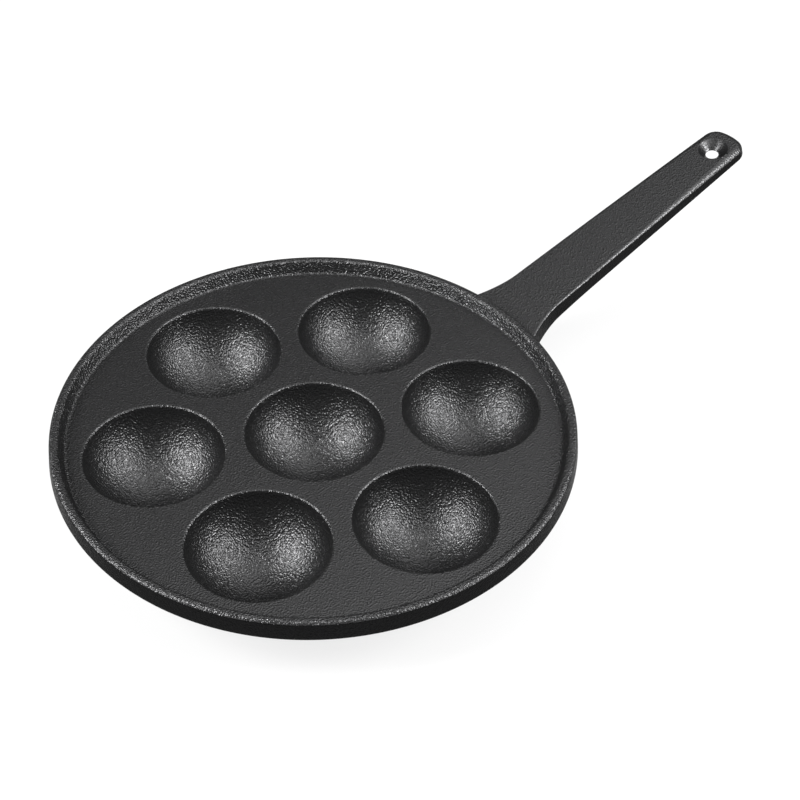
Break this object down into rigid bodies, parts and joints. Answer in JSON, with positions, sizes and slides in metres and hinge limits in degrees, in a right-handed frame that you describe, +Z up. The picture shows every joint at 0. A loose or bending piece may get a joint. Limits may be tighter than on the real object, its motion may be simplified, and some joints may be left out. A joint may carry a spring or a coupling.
{
  "type": "pancake pan",
  "caption": "Round cast-iron pan for ball-shaped pancakes: deep round wells in a flat plate with a low rim, and a long flat handle that slopes up to a hanging hole.",
  "frame": {"origin": "middle of the centre well's flat foot, on the plane that the pan stands on", "axes": "+X along the handle, away from the pan; +Z up, out of the mouths of the wells"},
  "size_m": [0.3639, 0.2116, 0.0514],
  "materials": {
    "cast_iron": "satin black coat over fine cast grain"
  },
  "bodies": {
    "root": {"pan": "cast_iron", "handle": "cast_iron"}
  },
  "joints": []
}
